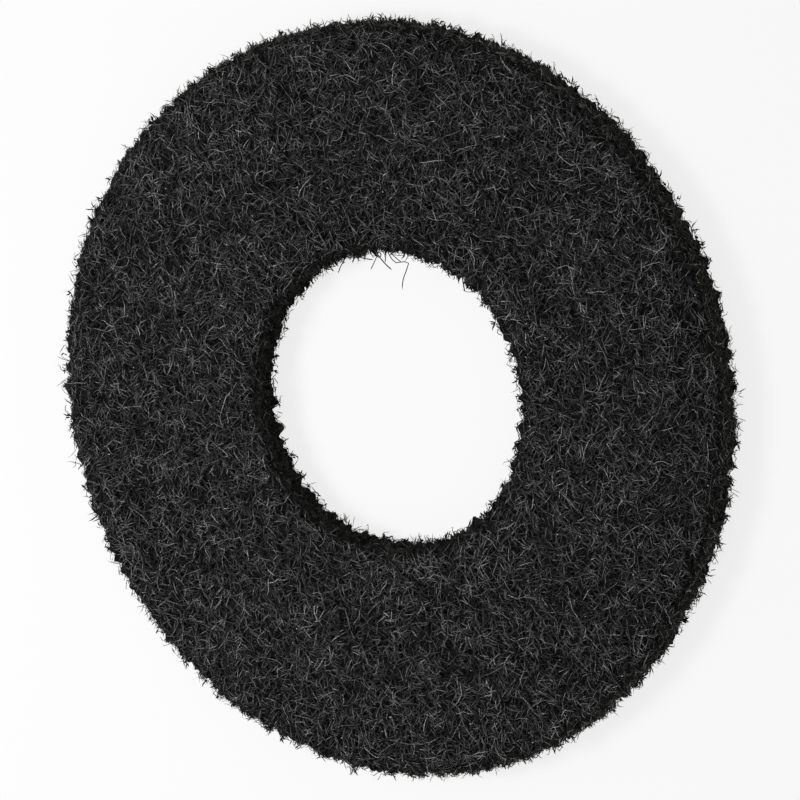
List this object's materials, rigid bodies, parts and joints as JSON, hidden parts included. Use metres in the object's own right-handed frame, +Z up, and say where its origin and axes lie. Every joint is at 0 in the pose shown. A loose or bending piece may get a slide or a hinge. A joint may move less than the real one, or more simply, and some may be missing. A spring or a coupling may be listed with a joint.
{
  "type": "floor polishing pad",
  "caption": "Thick round pad of black coarse non-woven web with a centre hole, driven flat under a floor machine's pad holder to scrub, strip or polish floors.",
  "frame": {"origin": "centre of the lower working face, on the pad's axis, at the surface the pad lies on", "axes": "+Z up along the pad's axis, from the lower face to the upper one; +X and +Y lie in the lower face and carry no feature"},
  "size_m": [0.2026, 0.203, 0.01],
  "materials": {
    "black_web": "matte"
  },
  "bodies": {
    "root": {"pad_ring": "black_web"}
  },
  "joints": []
}
